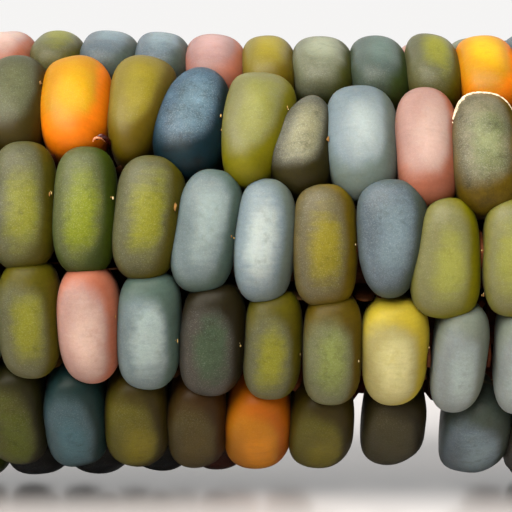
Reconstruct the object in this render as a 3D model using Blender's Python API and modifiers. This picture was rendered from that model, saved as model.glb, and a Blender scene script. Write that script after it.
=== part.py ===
"""A dried, husked ear of multi-coloured flint corn, lying on its side.

Metres, +Z up.  The ear lies along X, butt end (with the stub of its stalk) at -X and tip at +X.
The origin is under the middle of the ear, on the surface that it rests on.

The cob is one turned piece.  Its grains stand in twelve ranks that spiral slowly round it, some a little wider than
others; each rank is one solid, a loft whose section pinches in at every furrow between two grains and swells over
every crown.
"""

import math
import random

import bmesh
import bpy
from mathutils import Matrix

MM = 0.001

# ---------------------------------------------------------------- driving dimensions
EAR_LENGTH = 170.0 * MM  # from the broken stalk to the bare tip
EAR_RADIUS = 19.3 * MM  # over the crowns of the proudest grains
LOST_HEIGHT = 1.0 * MM  # of the empty socket ridge that is left where a grain is missing
REST_DEPTH = 0.4 * MM  # how far the lowest crowns are flattened where the ear rests
RANKS = 12  # ranks of grains round the ear
GAP = 0.3 * MM  # clear gap between two ranks, and between a rank and the cob
FIRST_RANK_WIDTH = 30.0  # degrees round the ear
SIXTH_RANK_WIDTH = 29.0
GRAIN_PITCH = 4.35 * MM  # a grain's thickness along the ear, in the middle
FURROW_DEPTH = 1.7 * MM  # between two crowns of one rank
SHOULDER = 0.27  # where a crown's flat top ends, as a part of the grain's thickness from its centre
CROWN_HALF_WIDTH = 0.60  # of the rank's half width, where the crown turns down
SIDE_DROP = 2.3 * MM  # from the crown down to the rank's widest point
SIDES_ROUND_COB = 20

AXIS_HEIGHT = EAR_RADIUS - REST_DEPTH

# Radius over the crowns along the ear: (position, radius) in mm.  The butt is rounded, the middle is slightly waisted,
# and the last third tapers.
CROWN_PROFILE = (
    (-79.0, 13.8), (-76.0, 15.8), (-70.0, 17.8), (-60.0, 18.9), (-50.0, 19.3), (-38.0, 19.2), (-26.0, 18.7),
    (-18.0, 18.4), (-4.0, 18.0), (9.0, 17.9), (16.0, 18.2), (24.0, 18.9), (31.0, 19.2), (36.0, 19.0), (44.0, 18.2),
    (54.0, 16.9), (62.0, 15.3), (68.0, 13.7), (74.0, 11.7), (80.0, 8.8),
)
# Radius of the cob under the grains, with the stalk's stub at the left and the bare tip at the right.
COB_PROFILE = (
    (-79.0, 7.2), (-76.0, 8.5), (-70.0, 9.6), (-60.0, 10.0), (30.0, 9.9), (50.0, 9.0), (60.0, 8.0),
    (68.0, 6.8), (74.0, 5.5), (80.0, 4.0),
)

# The five long furrows between the six ranks of the near side: their direction in degrees, from -Y towards +Z, at
# stations along the ear in mm.  They spiral, and not quite evenly.
STATIONS = (-60.0, -19.0, -9.0, 0.0, 10.0, 20.0, 60.0)
LONG_FURROWS = {
    1: (66.0, 63.0, 61.0, 55.2, 50.5, 45.5, 36.0),
    2: (36.0, 31.1, 27.6, 21.6, 17.7, 14.2, 5.0),
    3: (6.5, -0.4, -3.2, -9.0, -11.8, -15.1, -25.0),
    4: (-24.0, -30.1, -33.8, -38.6, -41.2, -43.4, -54.0),
    5: (-56.0, -65.0, -68.6, -73.0, -75.0, -77.5, -86.0),
}
# Grain thicknesses in mm along the middle of the six ranks on the ear's near side, butt to tip, each list with the
# position in mm of its first furrow.  The rest of each rank follows GRAIN_PITCH with a small scatter.
MIDDLE_GRAINS = {
    1: (-22.0, (4.35, 3.93, 4.31, 4.04, 4.44, 3.96, 4.51, 4.28, 3.97, 4.43)),
    2: (-20.6, (4.70, 4.94, 3.83, 4.90, 4.23, 3.46, 5.09, 4.35, 4.40)),
    3: (-19.5, (4.64, 4.48, 4.55, 4.37, 4.30, 4.59, 4.44, 4.59, 4.50)),
    4: (-19.0, (4.39, 4.47, 4.57, 4.69, 4.31, 4.40, 5.01, 4.47, 4.30)),
    5: (-20.6, (4.51, 4.54, 4.81, 4.43, 4.97, 4.88, 5.96, 6.10)),
    6: (-19.8, (4.80, 5.10, 4.90)),
}
# Ranks 6 to 8, on the underside, have lost a few grains: from and to, in mm.
LOST_GRAINS = {6: (-1.5, 20.5), 7: (5.0, 17.0), 8: (6.0, 17.5)}
# Some grains of rank 12, on top, grew shorter than their neighbours: from, to, and by how much, in mm.
SHORT_GRAINS = {12: (-2.0, 24.0, 1.2)}
RANK_START = -77.0  # mm, about where each rank begins and ends
RANK_END = 79.0

RANK_COLOURS = (
    (0.22, 0.24, 0.16), (0.36, 0.30, 0.12), (0.30, 0.32, 0.14), (0.30, 0.34, 0.20), (0.24, 0.22, 0.09),
    (0.06, 0.08, 0.09), (0.25, 0.27, 0.10), (0.18, 0.26, 0.27), (0.28, 0.28, 0.12), (0.24, 0.30, 0.26),
    (0.33, 0.27, 0.11), (0.20, 0.24, 0.20),
)
COB_COLOUR = (0.19, 0.07, 0.04)


# ---------------------------------------------------------------- the ear's layout
def along(profile, x_mm):
    """A radius in mm from a profile, smoothly eased between its points."""
    if x_mm <= profile[0][0]:
        return profile[0][1]
    for (x0, r0), (x1, r1) in zip(profile, profile[1:]):
        if x_mm <= x1:
            return r0 + (r1 - r0) * (x_mm - x0) / (x1 - x0)
    return profile[-1][1]


def eased(values, x_mm):
    """A value at x from values at STATIONS, on one smooth curve through them."""
    if x_mm <= STATIONS[0]:
        return values[0]
    if x_mm >= STATIONS[-1]:
        return values[-1]
    k = max(i for i, x in enumerate(STATIONS[:-1]) if x <= x_mm)

    def slope(i):
        low, high = max(i - 1, 0), min(i + 1, len(STATIONS) - 1)
        return (values[high] - values[low]) / (STATIONS[high] - STATIONS[low])

    length = STATIONS[k + 1] - STATIONS[k]
    t = (x_mm - STATIONS[k]) / length
    return (
        (2 * t**3 - 3 * t**2 + 1) * values[k]
        + (t**3 - 2 * t**2 + t) * length * slope(k)
        + (3 * t**2 - 2 * t**3) * values[k + 1]
        + (t**3 - t**2) * length * slope(k + 1)
    )


def furrow_angle(number, x_mm):
    """The direction in degrees of the long furrow between ranks number and number + 1."""
    if 1 <= number <= 5:
        return eased(LONG_FURROWS[number], x_mm)
    if number == 0:
        return eased(LONG_FURROWS[1], x_mm) + FIRST_RANK_WIDTH
    sixth = eased(LONG_FURROWS[5], x_mm) - SIXTH_RANK_WIDTH
    last = furrow_angle(0, x_mm) - 360.0
    return sixth + (last - sixth) * (number - 6) / (RANKS - 6)


def rank_angles(rank, x):
    """A rank's direction and its half width at x metres, in radians."""
    upper, lower = furrow_angle(rank - 1, x / MM), furrow_angle(rank, x / MM)
    return math.radians((upper + lower) / 2), math.radians((upper - lower) / 2)


def usual_thickness(x_mm, scatter):
    """Grains are fat and round at the butt, and small at the tip."""
    butt = min(max((-48.0 - x_mm) / 28.0, 0.0), 1.0)
    tip = min(max((x_mm - 40.0) / 40.0, 0.0), 1.0)
    return GRAIN_PITCH / MM * (1.0 + 0.16 * butt - 0.20 * tip + scatter.uniform(-0.06, 0.06))


def grains_of(rank):
    """(first furrow, second furrow, crown drop) in mm for each grain of a rank, butt to tip; drop None if it is lost."""
    scatter = random.Random(4100 + rank)
    start = RANK_START + scatter.uniform(-0.8, 0.8)
    end = RANK_END + scatter.uniform(-1.0, 0.6)
    if rank in MIDDLE_GRAINS:
        left, middle = MIDDLE_GRAINS[rank]
    else:
        left, middle = scatter.uniform(-2.0, 2.0), ()
    furrows = [left]
    while furrows[0] > start + 2.6:
        furrows.insert(0, furrows[0] - usual_thickness(furrows[0], scatter))
    furrows[0] = max(furrows[0], start - 1.2)
    for thickness in middle:
        furrows.append(furrows[-1] + thickness)
    while furrows[-1] < end - 2.0:
        furrows.append(furrows[-1] + usual_thickness(furrows[-1], scatter))
    furrows[-1] = min(furrows[-1], end + 0.8)
    lost_from, lost_to = LOST_GRAINS.get(rank, (1.0, -1.0))
    grains = []
    for a, b in zip(furrows, furrows[1:]):
        drop = scatter.uniform(0.0, 0.35)
        short_from, short_to, shortness = SHORT_GRAINS.get(rank, (1.0, -1.0, 0.0))
        if short_from < (a + b) / 2 < short_to:
            drop += shortness
        grains.append((a, b, None if lost_from < (a + b) / 2 < lost_to else drop))
    return grains


# ---------------------------------------------------------------- scene, collections, materials
for old in list(bpy.context.scene.objects):
    bpy.data.objects.remove(old, do_unlink=True)

ear = bpy.data.collections.new("corn_cob")
cutters = bpy.data.collections.new("cutters")
bpy.context.scene.collection.children.link(ear)
bpy.context.scene.collection.children.link(cutters)


def material(name, colour, roughness):
    made = bpy.data.materials.new(name)
    made.use_nodes = True
    shader = made.node_tree.nodes["Principled BSDF"]
    shader.inputs["Base Color"].default_value = (*colour, 1.0)
    shader.inputs["Roughness"].default_value = roughness
    shader.inputs["Metallic"].default_value = 0.0
    return made


# ---------------------------------------------------------------- the cob, with its stalk stub and bare tip
def cob_core():
    """A turned piece: its outline from the tip down to the broken stalk, screwed round the ear's axis."""
    half = EAR_LENGTH / 2 / MM
    clear = GAP / MM
    outline = [(half, 0.0), (half - 0.5, 1.2), (half - 2.0, 2.3), (81.0, 3.4)]
    outline += [(x, along(COB_PROFILE, x) - clear) for x in (79.0, 74.0, 68.0, 60.0, 50.0, 30.0, -25.0, -60.0, -70.0, -75.5)]
    outline += [(-78.2, 6.0), (-80.0, 5.1), (-83.0, 4.9), (1.2 - half, 4.95), (0.2 - half, 4.3), (-half, 0.0)]
    mesh = bpy.data.meshes.new("cob_core")
    mesh.from_pydata(
        [(radius * MM, 0.0, x * MM) for x, radius in outline],
        [(i, i + 1) for i in range(len(outline) - 1)],
        [],
    )
    core = bpy.data.objects.new("cob_core", mesh)
    ear.objects.link(core)
    screw = core.modifiers.new("turned", "SCREW")
    screw.axis = "Z"
    screw.angle = math.radians(360.0)
    screw.steps = SIDES_ROUND_COB
    screw.render_steps = SIDES_ROUND_COB
    screw.use_merge_vertices = True
    screw.merge_threshold = 0.00001
    core.location = (0.0, 0.0, AXIS_HEIGHT)
    core.rotation_euler = (0.0, math.radians(90.0), 0.0)
    core.data.materials.append(material("cob", COB_COLOUR, 0.85))
    return core


# ---------------------------------------------------------------- a rank of grains
def section(rank, x, crown, pinch):
    """A rank's outline across the ear at x: two points by the cob, and four over the crown.

    pinch is 0 over a crown and 1 in a furrow, where the outline is lower and narrower.
    """
    x_mm = x / MM
    angle, half_step = rank_angles(rank, x)
    clear = (GAP / 2) / math.cos(half_step)
    foot = along(COB_PROFILE, x_mm) * MM
    top = crown - FURROW_DEPTH * pinch
    widest = crown - SIDE_DROP - 0.35 * MM * pinch
    widest = max(widest, foot + 0.25 * (top - foot))
    side = (widest * math.tan(half_step) - clear) * (1.0 - 0.07 * pinch)
    ridge = side * CROWN_HALF_WIDTH
    base = foot * math.tan(half_step) - clear
    # The crown's ridges lie on the ear's round, so that no part of it stands outside EAR_RADIUS.
    ridge_height = math.sqrt(max(top * top - ridge * ridge, 0.0))
    outline = ((-base, foot), (-side, widest), (-ridge, ridge_height), (ridge, ridge_height), (side, widest), (base, foot))
    points = []
    for across, out in outline:
        radial_y, radial_z = -math.cos(angle), math.sin(angle)
        points.append((x, out * radial_y + across * radial_z, AXIS_HEIGHT + out * radial_z - across * radial_y))
    return points


def kernel_row(rank):
    """One rank: a loft through unlike sections, furrow, shoulder, shoulder, furrow, closed at both ends."""
    name = "kernel_row_%02d" % rank
    grains = grains_of(rank)
    build = bmesh.new()

    def ring(x, crown, pinch):
        return [build.verts.new(p) for p in section(rank, x * MM, crown * MM, pinch)]

    def quad(a, b, c, d):
        build.faces.new((a, b, c, d))

    def bare(x):
        return along(COB_PROFILE, x) + LOST_HEIGHT / MM

    first = grains[0]
    before = ring(first[0], along(CROWN_PROFILE, first[0]) - first[2] - 0.4, 1.0)
    build.faces.new(list(reversed(before)))
    for number, (left, right, drop) in enumerate(grains):
        middle, thickness = (left + right) / 2, right - left
        crown = bare(middle) if drop is None else along(CROWN_PROFILE, middle) - drop
        near = ring(middle - SHOULDER * thickness, crown, 0.0)
        far = ring(middle + SHOULDER * thickness, crown, 0.0)
        # Only the furrow sections reach the cob: the shoulders have just their four outer points.
        for spare in (near[0], near[5], far[0], far[5]):
            build.verts.remove(spare)
        next_drop = grains[number + 1][2] if number + 1 < len(grains) else drop + 0.6
        if drop is None or next_drop is None:
            after = ring(right, bare(right), 0.0)
        else:
            after = ring(right, along(CROWN_PROFILE, right) - (drop + next_drop) / 2, 1.0)
        for a, b in ((before, near), (near, far), (far, after)):
            for k in (1, 2, 3):
                quad(a[k], a[k + 1], b[k + 1], b[k])
        quad(before[5], before[0], after[0], after[5])
        for foot, side, turn in ((0, 1, False), (5, 4, True)):
            walls = (
                (before[foot], before[side], near[side]),
                (before[foot], near[side], far[side]),
                (before[foot], far[side], after[foot]),
                (after[foot], far[side], after[side]),
            )
            for wall in walls:
                build.faces.new(tuple(reversed(wall)) if turn else wall)
        before = after
    build.faces.new(before)
    bmesh.ops.triangulate(build, faces=[f for f in build.faces if len(f.verts) > 3])
    bmesh.ops.recalc_face_normals(build, faces=build.faces)
    mesh = bpy.data.meshes.new(name)
    build.to_mesh(mesh)
    build.free()
    mesh.shade_smooth()
    row = bpy.data.objects.new(name, mesh)
    ear.objects.link(row)
    row.data.materials.append(material(name, RANK_COLOURS[rank - 1], 0.45))
    return row


# ---------------------------------------------------------------- what the ear rests on
def ground_cutter():
    """A block under the ear: what it takes off the lowest crowns is the flat that the ear rests on."""
    mesh = bpy.data.meshes.new("ground_cutter")
    block = bmesh.new()
    bmesh.ops.create_cube(block, size=1.0)
    block.to_mesh(mesh)
    block.free()
    cutter = bpy.data.objects.new("ground_cutter", mesh)
    mesh.transform(Matrix.Diagonal((EAR_LENGTH * 1.2, EAR_RADIUS * 2.4, 0.01, 1.0)))
    cutter.location = (0.0, 0.0, -0.005)
    cutter.hide_render = True
    cutter.display_type = "WIRE"
    cutters.objects.link(cutter)
    return cutter


cob_core()
rows = [kernel_row(rank) for rank in range(1, RANKS + 1)]
ground = ground_cutter()
for row in rows:
    if min(vertex.co.z for vertex in row.data.vertices) < 0.0:
        flat = row.modifiers.new("rest_flat", "BOOLEAN")
        flat.operation = "DIFFERENCE"
        flat.solver = "EXACT"
        flat.object = ground
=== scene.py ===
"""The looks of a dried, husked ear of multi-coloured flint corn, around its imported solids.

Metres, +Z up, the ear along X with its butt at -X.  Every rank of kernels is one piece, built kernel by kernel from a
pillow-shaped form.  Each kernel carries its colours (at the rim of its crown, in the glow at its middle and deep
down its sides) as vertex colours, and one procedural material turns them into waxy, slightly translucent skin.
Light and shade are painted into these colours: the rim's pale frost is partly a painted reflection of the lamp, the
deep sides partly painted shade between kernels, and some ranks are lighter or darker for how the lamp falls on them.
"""

import math
import random

import bpy
import numpy as np
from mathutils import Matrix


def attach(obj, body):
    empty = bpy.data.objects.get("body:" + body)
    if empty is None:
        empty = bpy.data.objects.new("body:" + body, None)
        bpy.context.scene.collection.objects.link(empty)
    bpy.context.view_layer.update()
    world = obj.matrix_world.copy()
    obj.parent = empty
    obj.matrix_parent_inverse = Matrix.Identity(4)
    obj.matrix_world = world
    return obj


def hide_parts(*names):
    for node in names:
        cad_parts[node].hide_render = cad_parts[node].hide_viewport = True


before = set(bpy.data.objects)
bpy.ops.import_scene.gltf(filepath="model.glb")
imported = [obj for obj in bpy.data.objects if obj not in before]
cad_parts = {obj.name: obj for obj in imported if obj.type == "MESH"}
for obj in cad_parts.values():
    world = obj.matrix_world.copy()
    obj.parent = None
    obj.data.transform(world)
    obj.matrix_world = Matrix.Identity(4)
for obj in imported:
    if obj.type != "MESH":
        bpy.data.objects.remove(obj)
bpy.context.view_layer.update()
MM = 0.001

# ------------------------------------------------------------------------------------------------ the ear's layout
# The same as the solids': see the model's own source.
EAR_RADIUS = 19.3
REST_DEPTH = 0.4
AXIS_HEIGHT = EAR_RADIUS - REST_DEPTH
RANKS = 12
FIRST_RANK_WIDTH, SIXTH_RANK_WIDTH = 30.0, 29.0
GRAIN_PITCH = 4.35
RANK_START, RANK_END = -77.0, 79.0
EAR_HALF = 85.0
CROWN_PROFILE = (
    (-79.0, 13.8), (-76.0, 15.8), (-70.0, 17.8), (-60.0, 18.9), (-50.0, 19.3), (-38.0, 19.2), (-26.0, 18.7),
    (-18.0, 18.4), (-4.0, 18.0), (9.0, 17.9), (16.0, 18.2), (24.0, 18.9), (31.0, 19.2), (36.0, 19.0), (44.0, 18.2),
    (54.0, 16.9), (62.0, 15.3), (68.0, 13.7), (74.0, 11.7), (80.0, 8.8),
)
COB_PROFILE = (
    (-79.0, 7.2), (-76.0, 8.5), (-70.0, 9.6), (-60.0, 10.0), (30.0, 9.9), (50.0, 9.0), (60.0, 8.0),
    (68.0, 6.8), (74.0, 5.5), (80.0, 4.0),
)
STATIONS = (-60.0, -19.0, -9.0, 0.0, 10.0, 20.0, 60.0)
LONG_FURROWS = {
    1: (66.0, 63.0, 61.0, 55.2, 50.5, 45.5, 36.0),
    2: (36.0, 31.1, 27.6, 21.6, 17.7, 14.2, 5.0),
    3: (6.5, -0.4, -3.2, -9.0, -11.8, -15.1, -25.0),
    4: (-24.0, -30.1, -33.8, -38.6, -41.2, -43.4, -54.0),
    5: (-56.0, -65.0, -68.6, -73.0, -75.0, -77.5, -86.0),
}
MIDDLE_GRAINS = {
    1: (-22.0, (4.35, 3.93, 4.31, 4.04, 4.44, 3.96, 4.51, 4.28, 3.97, 4.43)),
    2: (-20.6, (4.70, 4.94, 3.83, 4.90, 4.23, 3.46, 5.09, 4.35, 4.40)),
    3: (-19.5, (4.64, 4.48, 4.55, 4.37, 4.30, 4.59, 4.44, 4.59, 4.50)),
    4: (-19.0, (4.39, 4.47, 4.57, 4.69, 4.31, 4.40, 5.01, 4.47, 4.30)),
    5: (-20.6, (4.51, 4.54, 4.81, 4.43, 4.97, 4.88, 5.96, 6.10)),
    6: (-19.8, (4.80, 5.10, 4.90)),
}
LOST_GRAINS = {6: (-1.5, 20.5), 7: (5.0, 17.0), 8: (6.0, 17.5)}
SHORT_GRAINS = {12: (-2.0, 24.0, 1.2)}


def along(profile, x):
    if x <= profile[0][0]:
        return profile[0][1]
    for (x0, r0), (x1, r1) in zip(profile, profile[1:]):
        if x <= x1:
            return r0 + (r1 - r0) * (x - x0) / (x1 - x0)
    return profile[-1][1]


def smoothed(profile, x, reach=4.0):
    """The same radius, rounded over its corners."""
    return sum(along(profile, x + d) * w for d, w in ((-reach, 1), (-reach / 2, 2), (0, 3), (reach / 2, 2), (reach, 1))) / 9.0


def eased(values, x):
    if x <= STATIONS[0]:
        return values[0]
    if x >= STATIONS[-1]:
        return values[-1]
    k = max(i for i, start in enumerate(STATIONS[:-1]) if start <= x)

    def slope(i):
        low, high = max(i - 1, 0), min(i + 1, len(STATIONS) - 1)
        return (values[high] - values[low]) / (STATIONS[high] - STATIONS[low])

    length = STATIONS[k + 1] - STATIONS[k]
    t = (x - STATIONS[k]) / length
    return (
        (2 * t**3 - 3 * t**2 + 1) * values[k]
        + (t**3 - 2 * t**2 + t) * length * slope(k)
        + (3 * t**2 - 2 * t**3) * values[k + 1]
        + (t**3 - t**2) * length * slope(k + 1)
    )


def furrow_angle(number, x):
    if 1 <= number <= 5:
        return eased(LONG_FURROWS[number], x)
    if number == 0:
        return eased(LONG_FURROWS[1], x) + FIRST_RANK_WIDTH
    sixth = eased(LONG_FURROWS[5], x) - SIXTH_RANK_WIDTH
    last = furrow_angle(0, x) - 360.0
    return sixth + (last - sixth) * (number - 6) / (RANKS - 6)


def rank_angles(rank, x):
    """A rank's direction and its half width, in radians."""
    upper, lower = furrow_angle(rank - 1, x), furrow_angle(rank, x)
    return math.radians((upper + lower) / 2), math.radians((upper - lower) / 2)


def usual_thickness(x, scatter):
    butt = min(max((-48.0 - x) / 28.0, 0.0), 1.0)
    tip = min(max((x - 40.0) / 40.0, 0.0), 1.0)
    return GRAIN_PITCH * (1.0 + 0.16 * butt - 0.20 * tip + scatter.uniform(-0.06, 0.06))


def grains_of(rank):
    """(first furrow, second furrow, crown drop or None if lost, place in MIDDLE_GRAINS or None), in mm."""
    scatter = random.Random(4100 + rank)
    start = RANK_START + scatter.uniform(-0.8, 0.8)
    end = RANK_END + scatter.uniform(-1.0, 0.6)
    if rank in MIDDLE_GRAINS:
        left, middle = MIDDLE_GRAINS[rank]
    else:
        left, middle = scatter.uniform(-2.0, 2.0), ()
    furrows = [left]
    while furrows[0] > start + 2.6:
        furrows.insert(0, furrows[0] - usual_thickness(furrows[0], scatter))
    before = len(furrows) - 1
    furrows[0] = max(furrows[0], start - 1.2)
    for thickness in middle:
        furrows.append(furrows[-1] + thickness)
    while furrows[-1] < end - 2.0:
        furrows.append(furrows[-1] + usual_thickness(furrows[-1], scatter))
    furrows[-1] = min(furrows[-1], end + 0.8)
    lost_from, lost_to = LOST_GRAINS.get(rank, (1.0, -1.0))
    grains = []
    for number, (a, b) in enumerate(zip(furrows, furrows[1:])):
        drop = scatter.uniform(0.0, 0.35)
        short_from, short_to, shortness = SHORT_GRAINS.get(rank, (1.0, -1.0, 0.0))
        if short_from < (a + b) / 2 < short_to:
            drop += shortness
        if lost_from < (a + b) / 2 < lost_to:
            drop = None
        place = number - before
        grains.append((a, b, drop, place if 0 <= place < len(middle) else None))
    return grains


# ------------------------------------------------------------------------------------------------ the kernels' colours
def linear(colour):
    return [(c / 255.0 / 12.92) if c <= 10.31 else ((c / 255.0 + 0.055) / 1.055) ** 2.4 for c in colour]


# name: (round the rim of the crown: the skin's pale bloom, partly a painted reflection of the lamp; in the glow at its
# middle; deep down the sides: saturated colour, partly painted shade between kernels), and how grainy the skin is
KERNEL_COLOURS = {
    "olive": ((118, 117, 82), (150, 149, 44), (72, 66, 2), 0.45),
    "leaf": ((114, 119, 72), (144, 154, 36), (50, 62, 0), 0.45),
    "moss": ((106, 106, 76), (116, 120, 80), (56, 46, 5), 0.45),
    "fern": ((134, 136, 96), (145, 156, 84), (76, 62, 8), 0.50),
    "khaki": ((130, 121, 88), (162, 149, 36), (98, 80, 4), 0.45),
    "gold": ((160, 142, 56), (172, 154, 30), (92, 76, 0), 0.20),
    "lime": ((156, 153, 100), (174, 174, 80), (108, 102, 6), 0.25),
    "straw": ((204, 192, 122), (234, 224, 156), (162, 144, 44), 0.15),
    "sage": ((140, 142, 114), (165, 170, 142), (56, 58, 22), 0.40),
    "stone": ((142, 134, 104), (142, 152, 98), (85, 68, 12), 0.90),
    "sky": ((156, 174, 180), (206, 217, 210), (96, 106, 98), 0.20),
    "lagoon": ((140, 157, 158), (178, 194, 188), (70, 86, 78), 0.25),
    "cloud": ((160, 168, 164), (176, 190, 184), (104, 110, 98), 0.25),
    "slate": ((118, 132, 140), (142, 162, 168), (66, 74, 66), 0.60),
    "storm": ((86, 114, 134), (126, 156, 168), (8, 34, 42), 1.00),
    "teal": ((84, 111, 118), (82, 119, 128), (26, 48, 48), 0.40),
    "pine": ((98, 112, 103), (110, 130, 120), (44, 55, 26), 0.40),
    "charcoal": ((88, 84, 76), (74, 92, 68), (30, 26, 14), 0.45),
    "bronze": ((122, 121, 104), (176, 171, 130), (42, 37, 10), 0.85),
    # loden, bog and smoke are olive and charcoal darker and without the pale frost, as they look in the shade of the
    # downward-facing rank: painted shade.
    "loden": ((116, 108, 28), (134, 122, 0), (58, 48, 0), 0.35),
    "bog": ((90, 90, 36), (92, 100, 20), (38, 36, 0), 0.40),
    "smoke": ((80, 73, 44), (72, 66, 34), (36, 31, 8), 0.35),
    "umber": ((92, 79, 36), (90, 74, 24), (58, 38, 0), 0.40),
    "pink": ((218, 172, 158), (238, 202, 184), (152, 90, 68), 0.10),
    "rose": ((196, 148, 140), (216, 174, 167), (158, 94, 72), 0.10),
    "amber": ((238, 164, 22), (250, 194, 20), (214, 112, 0), 0.08),
    "orange": ((222, 140, 0), (236, 150, 0), (174, 92, 0), 0.08),
    "navy": ((34, 38, 44), (26, 32, 36), (8, 9, 12), 0.60),
    "maroon": ((96, 50, 40), (86, 34, 20), (40, 8, 4), 0.40),
}
USUAL_COLOURS = (
    ("olive", 17), ("leaf", 10), ("moss", 6), ("fern", 7), ("khaki", 5), ("gold", 7), ("lime", 5), ("straw", 3),
    ("sage", 5), ("stone", 3), ("sky", 7), ("lagoon", 5), ("cloud", 4), ("slate", 5), ("storm", 3), ("teal", 3),
    ("pine", 2), ("charcoal", 4), ("bronze", 2), ("umber", 3), ("pink", 5), ("rose", 2), ("amber", 4), ("orange", 2), ("loden", 6),
    ("navy", 1), ("maroon", 1),
)

# The kernels along the middle of the near side, butt to tip: colour, and what is particular about each one's shape.
# lean: degrees that its upper end leans towards the tip; flare: how much wider its upper end is; thin: its thickness
# in its place; long: its length round the ear; up: mm that it sits higher up; proud: mm that it stands out; slide: mm
# along the ear; square: how square its outline is; glow: where its glow sits (along, up), and how strong it is; patch:
# where its pale patch sits (along, up), painted light.
MIDDLE_LOOKS = {
    1: [
        ("pink", {"proud": -0.45}), ("olive", {"proud": -0.1}), ("slate", {"proud": -0.2}), ("slate", {"proud": -0.1}),
        ("rose", {}), ("gold", {}), ("sage", {}), ("pine", {"proud": 0.15}), ("olive", {"proud": 0.25}), ("amber", {"proud": 0.1}),
    ],
    2: [
        ("moss", {"square": 2.6}),
        ("amber", {"square": 2.4, "thin": 1.05, "flare": 0.03, "slide": -0.25, "up": 0.25}),
        ("gold", {"flare": 0.28, "lean": 8.0, "square": 2.75, "slide": 0.12, "up": 0.45, "thin": 1.12}),
        ("storm", {"lean": 10.0, "flare": -0.10, "square": 2.3, "thin": 1.05}),
        ("lime", {"lean": 10.0, "flare": 0.20, "square": 2.6, "thin": 1.14, "proud": 0.15, "slide": 0.1}),
        ("bronze", {"lean": 12.0, "flare": -0.24, "square": 2.15, "thin": 1.24, "long": 0.86, "up": -0.75, "proud": -0.25, "glow_x": 0.0, "glow_y": -0.05, "glow": 1.2}),
        ("sky", {"square": 2.6, "flare": 0.04, "thin": 1.03}),
        ("pink", {"square": 2.7, "thin": 1.06, "slide": 0.15}),
        ("stone", {"square": 2.6, "flare": -0.04, "up": -0.30, "thin": 1.14, "slide": 0.1, "proud": 0.2}),
    ],
    3: [
        ("olive", {"square": 2.7}),
        ("leaf", {"square": 2.8, "lean": 1.0}),
        ("olive", {"square": 2.7, "lean": 7.0, "thin": 1.05, "flare": 0.05, "slide": 0.1}),
        ("lagoon", {"square": 2.8, "lean": 10.0, "up": -0.10, "thin": 1.03}),
        ("sky", {"square": 2.6, "lean": 4.0, "up": -0.1, "glow_x": -0.10, "glow_y": 0.0}),
        ("khaki", {"square": 2.9, "lean": 0.0}),
        ("slate", {"square": 2.5, "lean": 2.0, "flare": 0.20, "thin": 1.08, "long": 0.97, "up": 0.85, "slide": 0.35, "proud": 0.1}),
        ("lime", {"square": 2.8, "lean": 4.0, "flare": -0.16, "thin": 1.03, "up": -0.15}),
        ("lime", {"square": 2.9, "thin": 0.92, "slide": 0.22, "up": 0.35, "long": 0.96}),
    ],
    4: [
        ("olive", {"square": 2.8}),
        ("pink", {"square": 2.4, "lean": -2.0, "patch": (-0.05, -0.02)}),
        ("lagoon", {"square": 2.8, "lean": 2.0, "slide": -0.1, "up": -0.1}),
        ("charcoal", {"square": 2.7, "lean": 3.0, "up": -0.1}),
        ("olive", {"square": 2.9, "lean": 2.0, "thin": 0.97}),
        ("fern", {"square": 3.0, "thin": 0.97, "slide": 0.1}),
        ("straw", {"square": 2.5, "thin": 0.96, "slide": 0.10, "flare": 0.08, "patch": (-0.03, -0.03)}),
        ("cloud", {"square": 2.8, "lean": 4.0, "thin": 0.88, "slide": 0.22}),
        ("cloud", {"square": 2.8, "thin": 0.90, "slide": 0.45, "up": 0.35}),
    ],
    5: [
        # This rank faces down, away from the lamp; its olives and charcoal take bog, loden and smoke, darker and
        # unfrosted, as painted shade.
        ("bog", {"proud": 0.3, "up": -0.3}), ("teal", {"square": 2.6, "proud": 0.3, "up": -0.3}),
        ("loden", {"square": 2.6, "proud": 0.3, "up": -0.35}), ("umber", {"proud": 0.3, "up": -0.35}),
        ("orange", {"square": 2.4, "proud": 0.35, "up": -0.45}), ("loden", {"proud": 0.35, "up": -0.35}),
        ("smoke", {"thin": 0.81, "square": 2.4, "proud": 0.1, "slide": 0.2}),
        ("slate", {"thin": 0.87, "slide": 0.60, "square": 2.3, "proud": 0.3, "up": -0.15}),
    ],
    6: [("navy", {}), ("navy", {}), ("navy", {})],
}
# Kernels of other ranks that show along the outline: (rank, a place along the ear in mm): colour.
ALSO_SEEN = {
    (12, -21.0): "olive", (12, -17.0): "sage", (12, -13.0): "slate", (12, -8.5): "slate", (12, -4.4): "rose", (12, 0.0): "olive",
    (12, 4.0): "sage", (12, 8.5): "pine", (12, 12.4): "pink", (12, 17.2): "sage", (12, 20.9): "slate",
    (6, -2.8): "maroon", (5, 22.0): "charcoal",
}


# ------------------------------------------------------------------------------------------------ mesh helpers
def pillow(cells):
    """A ball of six patches, cells x cells each: unit points and four-cornered faces."""
    index, points, faces = {}, [], []
    steps = [math.tan((2.0 * i / cells - 1.0) * math.pi / 4.0) for i in range(cells + 1)]

    def point(p):
        key = tuple(round(c * 1e5) for c in p)
        if key not in index:
            index[key] = len(points)
            size = math.sqrt(sum(c * c for c in p))
            points.append([c / size for c in p])
        return index[key]

    for axis in range(3):
        for side in (-1.0, 1.0):
            u, v = (axis + 1) % 3, (axis + 2) % 3
            grid = {}
            for i in range(cells + 1):
                for j in range(cells + 1):
                    p = [0.0, 0.0, 0.0]
                    p[axis], p[u], p[v] = side, steps[i], steps[j]
                    grid[i, j] = point(p)
            for i in range(cells):
                for j in range(cells):
                    face = [grid[i, j], grid[i + 1, j], grid[i + 1, j + 1], grid[i, j + 1]]
                    faces.append(face if side > 0 else face[::-1])
    return np.array(points), np.array(faces)


PILLOWS = {cells: pillow(cells) for cells in (5, 10, 14)}


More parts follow.
